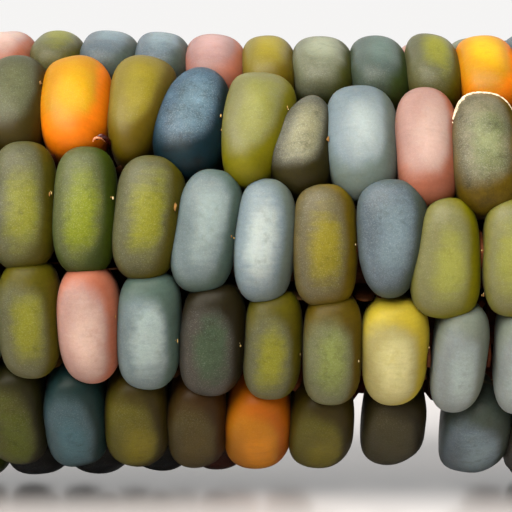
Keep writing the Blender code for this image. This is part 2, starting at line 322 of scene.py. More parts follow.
def mesh_object(name, points, faces, attributes=(), material=None, smooth=True):
    """A mesh from arrays: points in metres, faces as an (n, 4) or (n, 3) array or a list of both."""
    mesh = bpy.data.meshes.new(name)
    if isinstance(faces, np.ndarray):
        faces = [faces]
    corners = np.concatenate([f.reshape(-1) for f in faces]).astype(np.int32)
    totals = np.concatenate([np.full(len(f), f.shape[1]) for f in faces]).astype(np.int32)
    mesh.vertices.add(len(points))
    mesh.vertices.foreach_set("co", np.asarray(points, np.float32).reshape(-1))
    mesh.loops.add(len(corners))
    mesh.loops.foreach_set("vertex_index", corners)
    mesh.polygons.add(len(totals))
    mesh.polygons.foreach_set("loop_start", np.concatenate([[0], np.cumsum(totals)[:-1]]).astype(np.int32))
    mesh.update(calc_edges=True)
    mesh.validate()
    for kind, label, values in attributes:
        made = mesh.attributes.new(label, kind, "POINT")
        values = np.asarray(values, np.float32)
        if kind == "FLOAT_COLOR":
            values = np.concatenate([values, np.ones((len(values), 1), np.float32)], axis=1)
            made.data.foreach_set("color", values.reshape(-1))
        elif kind == "FLOAT_VECTOR":
            made.data.foreach_set("vector", values.reshape(-1))
        else:
            made.data.foreach_set("value", values.reshape(-1))
    if smooth:
        mesh.polygons.foreach_set("use_smooth", np.ones(len(totals), bool))
    if material:
        mesh.materials.append(material)
    made = bpy.data.objects.new(name, mesh)
    bpy.context.scene.collection.objects.link(made)
    return made


def facing_out(points, *groups):
    """The faces of one closed piece, turned over if they face into it."""
    at, volume = points - points.mean(axis=0), 0.0
    for faces in groups:
        for k in range(1, faces.shape[1] - 1):
            volume += (at[faces[:, 0]] * np.cross(at[faces[:, k]], at[faces[:, k + 1]])).sum()
    return [faces[:, ::-1] if volume < 0 else faces for faces in groups]


def frame_at(angle):
    """Outward and upward-round unit vectors at an angle round the ear, as (y, z)."""
    return np.array([-math.cos(angle), math.sin(angle)]), np.array([math.sin(angle), math.cos(angle)])


# ------------------------------------------------------------------------------------------------ a kernel
def kernel_surface(shape, directions):
    """Where a kernel's skin lies in some directions from its middle (mm), and what the skin's colours go by."""
    x, y, z = directions.T
    round_end, straight_side = shape["square"] - 0.25, shape["square"] + 0.85
    top = z >= 0
    m = np.where(top, shape["dome_square"], 3.2)
    r = np.ones(len(x))
    for _ in range(5):
        px, py, pz = np.abs(x * r) ** round_end, np.abs(y * r) ** straight_side, np.abs(z * r) ** m
        plan = np.maximum(px + py, 1e-9)
        k = m / shape["square"]
        value = plan**k + pz
        slope = (k * plan ** (k - 1.0) * (round_end * px + straight_side * py) + m * pz) / r
        r = np.clip(r - (value - 1.0) / slope, 0.8, 2.0)
    sx, sy, sz = x * r, y * r, z * r
    depth = np.maximum(-sz, 0.0)
    # How far out of the pale patch on its crown each point is: the patch is painted light, set where the kernel catches
    # most of the lamp, and outside it the sides' deep colour comes in as painted shade.
    patch_x, patch_y = sx - shape["patch"][0], 0.86 * (sy - shape["patch"][1])
    rim = (np.abs(patch_x) ** 3.0 + np.abs(patch_y) ** 3.0) ** (1.0 / 3.0)
    a = shape["half_thick"] * sx * (1.0 + shape["flare"] * sy) * (1.0 - 0.22 * depth**1.5)
    b = shape["half_long"] * sy * (1.0 - 0.40 * depth)
    h = np.where(top, shape["dome"] * sz, -shape["body"] * depth)
    # The side towards the tip of the ear slopes away more.
    h = h - shape["slope"] * np.clip(sx + 0.15, 0.0, 1.2) ** 2 * np.clip(1.0 - depth, 0, 1)
    # Growth makes every kernel a little uneven.
    for k, (kx, ky, phase, size) in enumerate(shape["waves"]):
        h = h + size * np.sin(kx * a + ky * b + phase) * np.clip(1.0 - depth, 0, 1)
        a = a + 0.5 * size * np.sin(ky * a * 0.7 + kx * b + phase * 1.7)
    h = h - b * b / (2.0 * shape["ear"]) * 0.85
    lean = math.radians(shape["lean"])
    a, b = a * math.cos(lean) + b * math.sin(lean), b * math.cos(lean) - a * math.sin(lean)
    out = shape["radius"] - shape["dome"] + h
    b = b + shape["up"]
    # At the two ends of the ear the kernels lean outwards.
    tip = math.radians(shape["tip"])
    foot = shape["radius"] - shape["dome"] - shape["body"]
    rise = out - foot
    a, out = a * math.cos(tip) + rise * math.sin(tip), foot + rise * math.cos(tip) - a * math.sin(tip)
    outward, upward = frame_at(shape["angle"])
    points = np.empty((len(a), 3))
    points[:, 0] = shape["x"] + a
    points[:, 1] = outward[0] * out + upward[0] * b
    points[:, 2] = AXIS_HEIGHT + outward[1] * out + upward[1] * b
    # What it rests on flattens it.
    points[:, 2] = np.maximum(points[:, 2], 0.0)
    # Painted shade: the zone's third value also grows towards a kernel's upper and lower ends by the shape's end
    # shading amounts, so the deep colour comes over the ends where the ranks above and below shade them.
    zone = np.stack([sx, sy, rim + 1.2 * depth + shape["end_shade"][0] * np.clip(sy, 0.0, 1.0) ** 2 + shape["end_shade"][1] * np.clip(-sy, 0.0, 1.0) ** 2], axis=1)
    own = np.stack([a + shape["seed"][0], b + shape["seed"][1], h + shape["seed"][2]], axis=1)
    return points, zone, own


def kernel(shape):
    """One kernel's points in metres, its faces and its attributes."""
    ball, faces = PILLOWS[shape["cells"]]
    points, zone, own = kernel_surface(shape, ball)
    count = len(points)
    colours = shape["colours"]
    attributes = {
        "rim_colour": np.tile(colours[0], (count, 1)),
        "glow_colour": np.tile(colours[1], (count, 1)),
        "deep_colour": np.tile(colours[2], (count, 1)),
        "zone": zone,
        "own": own,
        "glow_at": np.tile(shape["glow"], (count, 1)),
        "grit": np.full(count, shape["grit"]),
    }
    return points * MM, faces, attributes


def varied(colour, scatter, spread=0.10):
    """A colour (linear) made a little lighter or darker, warmer or cooler."""
    level = 1.0 + scatter.uniform(-spread, spread)
    warm = 1.0 + scatter.uniform(-spread, spread) * 0.5
    return [colour[0] * level * warm, colour[1] * level, colour[2] * level / warm]


# How far round the ear from a kernel's middle its pale patch sits, in the ranks that aren't given here at 0: painted
# light, moved to where each rank catches the lamp, with painted shade outside it.
LIT_PATCH_UP = {1: -0.04, 2: 0.12, 3: 0.02, 4: -0.10, 5: 0.12, 12: 0.10}
# Painted shade: how far the deep colour of the sides comes over a kernel's upper and lower ends, where the ranks above
# and below shade it.
ENDS_IN_SHADE = {2: (0.0, 0.22), 4: (0.16, 0.0), 5: (0.22, 0.16)}
# Painted light and shade: how much lighter or darker the skin is and how strong the glow, in the ranks that differ, for
# how the lamp falls on each of them.
RANK_PAINTED_LIGHT = {2: (0.92, 0.72), 4: (1.15, 1.10), 5: (1.16, 1.10)}


def body_colour(look, level):
    """The colour under the skin for the look of a kernel in soft light: the skin's own pale gloss is taken off it."""
    return [max((c - haze) * level, 0.0008) for c, haze in zip(look, (0.004, 0.004, 0.005))]


def kernel_shape(rank, grain):
    left, right, drop, place = grain
    middle, thickness = (left + right) / 2, right - left
    scatter = random.Random(int(9000 + rank * 997 + round(middle * 13.0)))
    looks, own = None, {}
    if place is not None:
        looks, own = MIDDLE_LOOKS[rank][place]
    else:
        for (other, where), colour in ALSO_SEEN.items():
            if other == rank and left <= where < right:
                looks = colour
                own = {"proud": -0.75 if rank == 12 and where < 12.0 else 0.0}
    butt = min(max((-50.0 - middle) / 24.0, 0.0), 1.0)
    tip = min(max((middle - 46.0) / 30.0, 0.0), 1.0)
    bare = 0.55 if middle < -73.0 or middle > 75.5 else 0.0
    if looks is None:
        looks = scatter.choices([c for c, _ in USUAL_COLOURS], [w for _, w in USUAL_COLOURS])[0]
        own = {
            "lean": scatter.gauss(1.0, 3.5),
            "flare": scatter.gauss(0.0, 0.06),
            "square": scatter.uniform(2.35, 2.9),
            "thin": scatter.uniform(0.98, 1.05),
            "up": scatter.gauss(0.0, 0.12),
            "proud": scatter.gauss(0.0, 0.10),
        }
    colours = KERNEL_COLOURS[looks]
    # The first and last kernels of a rank have an open side, out of the shade between neighbours, so the painted shade
    # in their deep colour is mostly taken out, bringing it much of the way to the colour of the crown.
    colours = (colours[0], colours[1], tuple(d + (0.88 * c - d) * bare for c, d in zip(colours[0], colours[2])), colours[3])
    radius = smoothed(CROWN_PROFILE, middle) - drop * 0.8 + own.get("proud", 0.0)
    radius = min(radius, EAR_RADIUS + 0.1)
    cob = along(COB_PROFILE, middle)
    dome = 2.0 - 0.5 * tip + 0.35 * butt
    # Painted light: this rank's skin is made lighter or darker and its glow stronger or weaker for how the lamp falls
    # on it.
    tone, glowing = RANK_PAINTED_LIGHT.get(rank, (1.0, 1.0))
    seen = place is not None or (rank in (1, 2, 3, 4, 5, 6, 12) and abs(middle) < 26.0)
    spread = 0.03 if place is not None else 0.10
    if rank == 1 and place is not None:
        own = {"thin": 1.05, "square": 3.0, **own}
    return {
        "x": middle + own.get("slide", 0.0),
        "angle": rank_angles(rank, middle)[0],
        "half_angle": rank_angles(rank, middle)[1],
        "radius": radius,
        "ear": smoothed(CROWN_PROFILE, middle),
        "dome": dome,
        "body": max(radius - dome - cob - 0.1, 2.0),
        "half_thick": thickness / 2 * 1.05 * own.get("thin", 1.0),
        "half_long": ((radius - dome * 0.6) * math.tan(rank_angles(rank, middle)[1]) + 0.12) * own.get("long", 1.0),
        "square": own.get("square", 2.65) - 0.25 * butt,
        "dome_square": 3.0 + scatter.uniform(-0.12, 0.12) - 0.25 * butt,
        "flare": own.get("flare", 0.0),
        "lean": own.get("lean", 0.0),
        "up": own.get("up", 0.0),
        "slope": own.get("slope", scatter.uniform(0.40, 0.65)),
        "patch": own.get("patch", (scatter.uniform(-0.07, -0.03), LIT_PATCH_UP.get(rank, 0.0) + scatter.uniform(-0.04, 0.04))),
        "tip": -20.0 * butt**1.5 + 24.0 * tip**1.5,
        "end_shade": ENDS_IN_SHADE.get(rank, (0.0, 0.0)),
        "cells": 14 if seen else 10,
        # The deep sides of rank 5, which faces down away from the lamp, are darker: painted shade.
        "colours": [body_colour(varied(linear(c), scatter, spread), level * tone) for c, level in zip(colours[:3], (0.46, 0.60, 0.76 if rank == 5 else 0.98))],
        "grit": colours[3],
        "glow": (
            own.get("glow_x", scatter.uniform(-0.10, 0.12)),
            own.get("glow_y", scatter.uniform(-0.16, 0.10)),
            own.get("glow", scatter.uniform(0.85, 1.1)) * glowing,
        ),
        "waves": [
            (scatter.uniform(0.8, 1.9), scatter.uniform(0.6, 1.3), scatter.uniform(0, 6.28), scatter.uniform(0.02, 0.055))
            for _ in range(2)
        ],
        "seed": [scatter.uniform(-400, 400) for _ in range(3)],
    }


# ------------------------------------------------------------------------------------------------ materials
class Nodes:
    """A short way to write a node tree."""

    def __init__(self, name):
        self.material = bpy.data.materials.new(name)
        self.material.use_nodes = True
        self.tree = self.material.node_tree
        self.shader = self.tree.nodes["Principled BSDF"]

    def add(self, kind, **settings):
        node = self.tree.nodes.new(kind)
        inputs = settings.pop("inputs", {})
        for key, value in settings.items():
            setattr(node, key, value)
        for key, value in inputs.items():
            self.put(node.inputs[key], value)
        return node

    def put(self, socket, value):
        if isinstance(value, bpy.types.NodeSocket):
            self.tree.links.new(value, socket)
        elif isinstance(value, bpy.types.Node):
            self.tree.links.new(value.outputs[0], socket)
        else:
            socket.default_value = value

    def math(self, operation, a, b=0.0, c=0.0, clamp=False):
        node = self.add("ShaderNodeMath", operation=operation, use_clamp=clamp)
        for socket, value in zip(node.inputs, (a, b, c)):
            self.put(socket, value)
        return node.outputs[0]

    def mix(self, factor, a, b, blend="MIX"):
        node = self.add("ShaderNodeMix", data_type="RGBA", blend_type=blend)
        self.put(node.inputs[0], factor)
        self.put(node.inputs[6], a)
        self.put(node.inputs[7], b)
        return node.outputs[2]

    def step(self, value, low, high, to_low=0.0, to_high=1.0):
        node = self.add("ShaderNodeMapRange", interpolation_type="SMOOTHSTEP")
        self.put(node.inputs[0], value)
        for k, v in zip((1, 2, 3, 4), (low, high, to_low, to_high)):
            node.inputs[k].default_value = v
        return node.outputs[0]

    def read(self, name):
        return self.add("ShaderNodeAttribute", attribute_type="GEOMETRY", attribute_name=name)

    def noise(self, at, scale, detail=2.0, rough=0.5, distortion=0.0):
        node = self.add("ShaderNodeTexNoise", inputs={"Scale": scale, "Detail": detail, "Roughness": rough, "Distortion": distortion})
        self.put(node.inputs["Vector"], at)
        return node.outputs[0]

    def stretched(self, at, scale):
        node = self.add("ShaderNodeMapping", inputs={"Scale": scale})
        self.put(node.inputs["Vector"], at)
        return node.outputs[0]


def kernel_skin():
    """Waxy skin over a translucent, floury heart."""
    n = Nodes("kernel_skin")
    rim, glow, deep = (n.read(k).outputs["Color"] for k in ("rim_colour", "glow_colour", "deep_colour"))
    own = n.read("own").outputs["Vector"]
    zone = n.add("ShaderNodeSeparateXYZ", inputs={0: n.read("zone").outputs["Vector"]})
    glow_at = n.add("ShaderNodeSeparateXYZ", inputs={0: n.read("glow_at").outputs["Vector"]})
    grit = n.read("grit").outputs["Fac"]
    wander = n.noise(own, 0.60, 2.0)
    cloud = n.noise(own, 0.30, 3.0, 0.6)
    patch = n.noise(own, 1.3, 2.0, 0.6)
    fine = n.noise(own, 4.5, 3.0, 0.7)
    dust = n.noise(own, 11.0, 2.0, 0.7)
    ribs = n.noise(n.stretched(own, (0.30, 3.4, 0.3)), 1.0, 2.0, 0.55)

    # The glow: a rounded block in the middle of the crown, longer round the ear than along it.
    across = n.math("ABSOLUTE", n.math("DIVIDE", n.math("SUBTRACT", zone.outputs[0], glow_at.outputs[0]), 0.66))
    up = n.math("ABSOLUTE", n.math("DIVIDE", n.math("SUBTRACT", zone.outputs[1], glow_at.outputs[1]), 0.76))
    off = n.math("POWER", n.math("ADD", n.math("POWER", across, 2.6), n.math("POWER", up, 2.6)), 1.0 / 2.6)
    off = n.math("ADD", off, n.math("MULTIPLY", n.math("SUBTRACT", wander, 0.5), 0.8))
    off = n.math("ADD", off, n.math("MULTIPLY", n.math("SUBTRACT", ribs, 0.5), 0.50))
    heart = n.math("MULTIPLY", n.step(off, 0.25, 1.12, 1.0, 0.0), glow_at.outputs[2], clamp=True)
    # Down the sides the colour is deep and saturated, partly the kernel's own colour and partly painted shade between
    # kernels; more of that shows on the side towards the tip, painted shade on the side away from the lamp.
    edge = n.math("MULTIPLY_ADD", n.math("SUBTRACT", wander, 0.5), 0.20, zone.outputs[2])
    edge = n.math("MULTIPLY_ADD", zone.outputs[0], 0.17, edge)
    side = n.step(edge, 0.61, 0.93)

    colour = n.mix(heart, rim, glow)
    # The glow is patchy, and a little deeper in places.
    stain = n.math("MULTIPLY", n.step(patch, 0.50, 0.78, 0.0, 0.24), heart)
    colour = n.mix(stain, colour, deep)
    colour = n.mix(side, colour, deep)
    # Towards its foot a kernel is pale and papery.
    foot = n.math("MULTIPLY_ADD", n.math("SUBTRACT", patch, 0.5), 0.9, zone.outputs[2])
    colour = n.mix(n.step(foot, 1.25, 1.95, 0.0, 0.75), colour, (0.45, 0.30, 0.14, 1.0))
    # Mottling, faint ribs across the crown, and a grainy bloom of fine pale specks.
    tone = n.math("ADD", n.step(cloud, 0.25, 0.75, 0.88, 1.10), n.step(ribs, 0.2, 0.8, -0.05, 0.05))
    tone = n.math("ADD", tone, n.math("MULTIPLY", n.math("SUBTRACT", fine, 0.5), n.math("MULTIPLY_ADD", grit, 0.55, 0.20)))
    tone = n.math("ADD", tone, n.math("MULTIPLY", n.math("SUBTRACT", wander, 0.5), n.math("MULTIPLY", n.step(grit, 0.6, 1.0), 1.3)))
    tone = n.math("ADD", tone, n.math("MULTIPLY", n.math("SUBTRACT", dust, 0.5), n.math("MULTIPLY_ADD", grit, 0.50, 0.14)))
    tone = n.math("SUBTRACT", tone, n.math("MULTIPLY", n.step(patch, 0.50, 0.72), n.math("MULTIPLY", grit, 0.22)))
    colour = n.mix(1.0, colour, n.add("ShaderNodeCombineColor", inputs={0: tone, 1: tone, 2: tone}).outputs[0], "MULTIPLY")
    speck = n.math("MULTIPLY", n.step(dust, 0.50, 0.78), n.math("MULTIPLY_ADD", grit, 0.12, 0.04))
    speck = n.math("MULTIPLY", speck, n.math("SUBTRACT", 1.0, side))
    colour = n.mix(speck, colour, (0.74, 0.72, 0.68, 1.0))
    n.put(n.shader.inputs["Base Color"], colour)

    n.put(n.shader.inputs["Roughness"], n.math("ADD", n.step(fine, 0.2, 0.8, 0.38, 0.48), n.math("MULTIPLY", side, 0.10)))
    n.shader.inputs["Specular IOR Level"].default_value = 0.17
    n.shader.inputs["Specular Tint"].default_value = (1.0, 0.93, 0.74, 1.0)
    n.shader.inputs["Coat Weight"].default_value = 0.06
    n.shader.inputs["Coat Roughness"].default_value = 0.34
    n.shader.inputs["Sheen Weight"].default_value = 0.02
    n.shader.inputs["Sheen Roughness"].default_value = 0.22
    n.shader.inputs["Subsurface Weight"].default_value = 0.35
    n.shader.inputs["Subsurface Radius"].default_value = (1.0, 0.55, 0.25)
    n.shader.inputs["Subsurface Scale"].default_value = 0.0009
    relief = n.math("ADD", n.math("MULTIPLY", fine, 0.5), n.math("ADD", n.math("MULTIPLY", ribs, 0.5), n.math("MULTIPLY", dust, n.math("MULTIPLY", grit, 0.4))))
    bump = n.add("ShaderNodeBump", inputs={"Strength": 0.45, "Distance": 0.00005, "Height": relief})
    n.put(n.shader.inputs["Normal"], bump.outputs[0])
    return n.material


def cob_skin():
    """Woody cob and papery chaff: its tint comes with the mesh, and fibres and blotches go over it."""
    n = Nodes("cob_skin")
    tint = n.read("tint").outputs["Color"]
    own = n.read("own").outputs["Vector"]
    fibres = n.noise(n.stretched(own, (0.35, 4.0, 4.0)), 1.2, 3.0, 0.65)
    blotch = n.noise(own, 0.6, 3.0, 0.6)
    fine = n.noise(own, 6.0, 3.0, 0.7)
    tone = n.math("ADD", n.step(blotch, 0.25, 0.75, 0.65, 1.25), n.step(fibres, 0.25, 0.75, -0.28, 0.28))
    tone = n.math("ADD", tone, n.math("MULTIPLY", n.math("SUBTRACT", fine, 0.5), 0.4))
    colour = n.mix(1.0, tint, n.add("ShaderNodeCombineColor", inputs={0: tone, 1: tone, 2: tone}).outputs[0], "MULTIPLY")
    n.put(n.shader.inputs["Base Color"], colour)
    n.put(n.shader.inputs["Roughness"], n.step(fibres, 0.2, 0.8, 0.55, 0.85))
    n.shader.inputs["Specular IOR Level"].default_value = 0.18
    relief = n.math("ADD", n.math("MULTIPLY", fibres, 0.7), n.math("MULTIPLY", fine, 0.4))
    bump = n.add("ShaderNodeBump", inputs={"Strength": 0.6, "Distance": 0.00012, "Height": relief})
    n.put(n.shader.inputs["Normal"], bump.outputs[0])
    return n.material


KERNEL_SKIN = kernel_skin()
COB_SKIN = cob_skin()


# ------------------------------------------------------------------------------------------------ the ranks of kernels
def kernel_rank(rank):
    points, faces, found, count = [], [], {}, 0
    kinds = {"rim_colour": "FLOAT_COLOR", "glow_colour": "FLOAT_COLOR", "deep_colour": "FLOAT_COLOR",
             "zone": "FLOAT_VECTOR", "own": "FLOAT_VECTOR", "glow_at": "FLOAT_VECTOR", "grit": "FLOAT"}
    for grain in grains_of(rank):
        if grain[2] is None:
            continue
        p, f, attributes = kernel(kernel_shape(rank, grain))
        points.append(p)
        faces.append(f + count)
        count += len(p)
        for key, values in attributes.items():
            found.setdefault(key, []).append(values)
    made = mesh_object(
        "kernels_%02d" % rank, np.concatenate(points), np.concatenate(faces),
        [(kinds[k], k, np.concatenate(v)) for k, v in found.items()], KERNEL_SKIN,
    )
    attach(made, "root")
    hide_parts("kernel_row_%02d" % rank)
    return made


for number in range(1, RANKS + 1):
    kernel_rank(number)


# ------------------------------------------------------------------------------------------------ the cob
def noise2(a, b, seed=0.0):
    """Smooth, cheap, repeatable waviness."""
    return (
        np.sin(a * 1.7 + b * 2.3 + seed) + np.sin(a * 3.1 - b * 1.9 + seed * 1.3) * 0.6 + np.sin(a * 5.3 + b * 4.7 + seed * 2.1) * 0.35
        + np.sin(-a * 9.7 + b * 8.3 + seed * 0.7) * 0.2
    ) / 2.15


def cob():
    """The woody core: sockets under the kernels, a fibrous stalk stub at the butt, and a bare, pointed tip."""
    outline = [(-EAR_HALF, 0.4), (-EAR_HALF, 2.2), (-EAR_HALF + 0.1, 3.6), (-EAR_HALF + 0.3, 4.3), (-EAR_HALF + 0.8, 4.75)]
    outline += [(x, 4.85) for x in (-83.4, -82.6, -81.8)] + [(-81.0, 4.95), (-80.2, 5.15), (-79.5, 5.6), (-78.8, 6.3), (-78.0, 7.1)]
    outline += [(x, along(COB_PROFILE, x) - 0.1) for x in np.arange(-77.2, 80.0, 0.55)]
    outline += [(80.6, 3.7), (81.4, 3.3), (82.2, 2.85), (83.0, 2.35), (83.8, 1.75), (84.4, 1.15), (84.8, 0.6), (EAR_HALF - 0.05, 0.2)]
    xs = np.array([p[0] for p in outline])
    rs = np.array([p[1] for p in outline])
    sides = 96
    phi = np.linspace(0, 2 * math.pi, sides, endpoint=False)
    X, P = np.meshgrid(xs, phi, indexing="ij")
    R = np.repeat(rs[:, None], sides, axis=1)
    turn = np.array([rank_angles(1, x)[0] for x in xs])[:, None]
    ranks = (P - turn) * RANKS / (2 * math.pi)
    between = np.abs(ranks - np.round(ranks)) * 2.0  # 0 on a rank, 1 between two
    along_rank = np.abs(((X / GRAIN_PITCH) + np.round(ranks) * 0.37) % 1.0 - 0.5) * 2.0
    grown = np.clip((X + 79.0) / 4.0, 0, 1) * np.clip((80.5 - X) / 3.0, 0, 1)
    sockets = 0.9 * between**3 + 0.55 * along_rank**4 - 0.15
    R = R + grown * sockets + 0.10 * noise2(X * 1.3, P * 9.0, 1.0) * np.clip(R / 5.0, 0, 1)
    stalk = np.clip((-79.5 - X) / 1.5, 0, 1)
    R = R * (1.0 + stalk * (0.05 * np.sin(P * 2 + 0.6) + 0.035 * np.sin(P * 5 + 1.0) + 0.02 * np.sin(P * 17 + X) + 0.018 * np.sin(P * 29)))
    # The broken end of the stalk is ragged: its fibres stick out by different lengths.
    end = np.clip((-84.2 - X) / 0.8, 0, 1)
    X = X + end * (0.25 + 0.22 * noise2(P * 6.0, R * 1.1, 4.0) + 0.15 * np.sin(P * 31 + R))
    X = np.maximum(X, -EAR_HALF)
    Y = -np.cos(P) * R
    Z = AXIS_HEIGHT + np.sin(P) * R
    points = np.stack([X, Y, Z], axis=-1).reshape(-1, 3)
    rows = len(xs)
    grid = np.arange(rows * sides).reshape(rows, sides)
    nxt = np.roll(grid, -1, axis=1)
    quads = np.stack([grid[:-1], nxt[:-1], nxt[1:], grid[1:]], axis=-1).reshape(-1, 4)
    ends = []
    first, last = len(points), len(points) + 1
    points = np.concatenate([points, [[-EAR_HALF + 0.3, 0, AXIS_HEIGHT], [EAR_HALF, 0, AXIS_HEIGHT]]])
    for k in range(sides):
        ends.append([first, nxt[0, k], grid[0, k]])
        ends.append([last, grid[-1, k], nxt[-1, k]])
    # Tints: red-brown wood, paler on the ridges; straw on the stalk with a pale pith; buff at the tip.
    wood, ridge, straw, pith, buff = (np.array(linear(c)) for c in ((88, 40, 24), (150, 96, 62), (176, 146, 104), (214, 196, 160), (186, 158, 116)))
    t = np.clip(sockets, 0, 1)[..., None]
    tint = wood * (1 - t) + ridge * t
    s = np.clip((-78.0 - np.repeat(xs[:, None], sides, axis=1)) / 2.5, 0, 1)[..., None]
    tint = tint * (1 - s) + straw * s
    core = (np.repeat(xs[:, None], sides, axis=1) < -84.6) & (np.repeat(rs[:, None], sides, axis=1) < 4.0)
    tint = np.where(core[..., None], pith, tint)
    e = np.clip((np.repeat(xs[:, None], sides, axis=1) - 79.0) / 2.0, 0, 1)[..., None]
    tint = tint * (1 - e) + buff * e
    tint = np.concatenate([tint.reshape(-1, 3), [pith, buff]])
    own = np.concatenate([np.stack([X, P * 5.0, R], axis=-1).reshape(-1, 3), [[0, 0, 0], [0, 0, 0]]])
    made = mesh_object(
        "cob", points * MM, facing_out(points, quads, np.array(ends)), [("FLOAT_COLOR", "tint", tint), ("FLOAT_VECTOR", "own", own)], COB_SKIN
    )
    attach(made, "root")
    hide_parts("cob_core")
    return made


cob()


def leaf_strip(base, along_dir, up_dir, out_dir, width, height, curl, ragged, scatter, columns=5, rows=3, thick=0.03):
    """A small papery scale: points and faces.  It has two sides, so that it is a closed thin solid."""
    points = []
    for side in (0, 1):
        for i in range(rows + 1):
            for j in range(columns + 1):
                u, v = j / columns - 0.5, i / rows
                w = width * (1.0 - 0.35 * v)
                rise = height * v * (1.0 - 0.25 * (2 * u) ** 2) + (scatter.uniform(-ragged, ragged) if i == rows and side == 0 else 0.0)
                if side and i == rows:
                    rise = None
                p = (u * w, rise, curl * v * v + 0.25 * curl * (2 * u) ** 2)
                points.append(p)
    half = (rows + 1) * (columns + 1)
    for k in range(half):
        if points[half + k][1] is None:
            points[half + k] = (points[half + k][0], points[k][1], points[half + k][2])
    made = []
    for k, (a, b, c) in enumerate(points):
        c += thick if k >= half else 0.0
        made.append(base + along_dir * a + out_dir * b + up_dir * c)
    faces = []
    for i in range(rows):
        for j in range(columns):
            a = i * (columns + 1) + j
            q = [a, a + 1, a + columns + 2, a + columns + 1]
            faces.append(q)
            faces.append([half + k for k in q[::-1]])
    rim = [j for j in range(columns + 1)]
    rim += [i * (columns + 1) + columns for i in range(1, rows + 1)]
    rim += [rows * (columns + 1) + j for j in range(columns - 1, -1, -1)]
    rim += [i * (columns + 1) for i in range(rows - 1, 0, -1)]
    for a, b in zip(rim, rim[1:] + rim[:1]):
        faces.append([b, a, half + a, half + b])
    return made, faces


def glume(base, side_dir, out_dir, up_dir, width, height, cup, scatter, columns=9, rows=6):
    """A papery cup-shaped scale with a rounded, torn edge: points and faces of a closed thin solid."""
    tear = [scatter.uniform(-0.30, 0.10) * height * (scatter.random() < 0.6) for _ in range(columns + 1)]
    lean, skew = scatter.uniform(-0.25, 0.25), scatter.uniform(-0.3, 0.3)
    layers = []
    for thick in (0.0, 0.07):
        for i in range(rows + 1):
            v = i / rows
            for j in range(columns + 1):
                u = 2.0 * j / columns - 1.0
                spread = width / 2 * u * (0.72 + 0.40 * math.sin(v * 2.2))
                rise = height * v * math.sqrt(max(1.0 - 0.75 * u * u, 0.05)) + tear[j] * v**3
                fold = cup * (u * u - 0.4) * v - 0.35 * cup * v * v + 0.10 * math.sin(u * 7.0 + skew * 9.0) * v
                layers.append(base + side_dir * (spread + skew * rise) + out_dir * rise + up_dir * (fold + lean * rise + thick * (1.0 - 0.6 * v)))
    grid = np.arange(2 * (rows + 1) * (columns + 1)).reshape(2, rows + 1, columns + 1)
    quads = []
    for i in range(rows):
        for j in range(columns):
            quads.append([grid[0, i, j], grid[0, i, j + 1], grid[0, i + 1, j + 1], grid[0, i + 1, j]])
            quads.append([grid[1, i, j], grid[1, i + 1, j], grid[1, i + 1, j + 1], grid[1, i, j + 1]])
    loop = [(0, j) for j in range(columns + 1)] + [(i, columns) for i in range(1, rows + 1)]
    loop += [(rows, j) for j in range(columns - 1, -1, -1)] + [(i, 0) for i in range(rows - 1, 0, -1)]
    for (a, b), (c, d) in zip(loop, loop[1:] + loop[:1]):
        quads.append([grid[0, c, d], grid[0, a, b], grid[1, a, b], grid[1, c, d]])
    return layers, quads


FLECKS = (
    (-15.1, 16.8, 17.3, 0.10), (-10.6, 15.9, 17.2, 0.11), (-5.9, 13.7, 17.1, 0.15), (-1.7, 6.5, 16.8, 0.10), (7.3, 4.5, 16.4, 0.09),
    (16.5, 3.0, 17.2, 0.10), (16.7, -8.1, 17.0, 0.10), (-10.3, -13.7, 17.0, 0.12), (-5.9, -20.5, 16.8, 0.11),
    (-1.2, -21.7, 16.9, 0.09), (3.3, -25.1, 16.4, 0.10), (7.6, -26.1, 16.9, 0.09), (12.8, -22.9, 16.5, 0.11), (12.9, -28.5, 16.0, 0.13),
    (-16.3, 50.3, 17.4, 0.14), (-2.7, 39.2, 17.1, 0.13), (-2.6, 35.4, 16.8, 0.12), (2.4, 42.3, 17.0, 0.08), (5.3, 32.4, 16.9, 0.15),
    (10.6, 37.0, 17.2, 0.08), (14.0, -42.0, 15.0, 0.10), (18.1, -42.9, 14.0, 0.10),
)


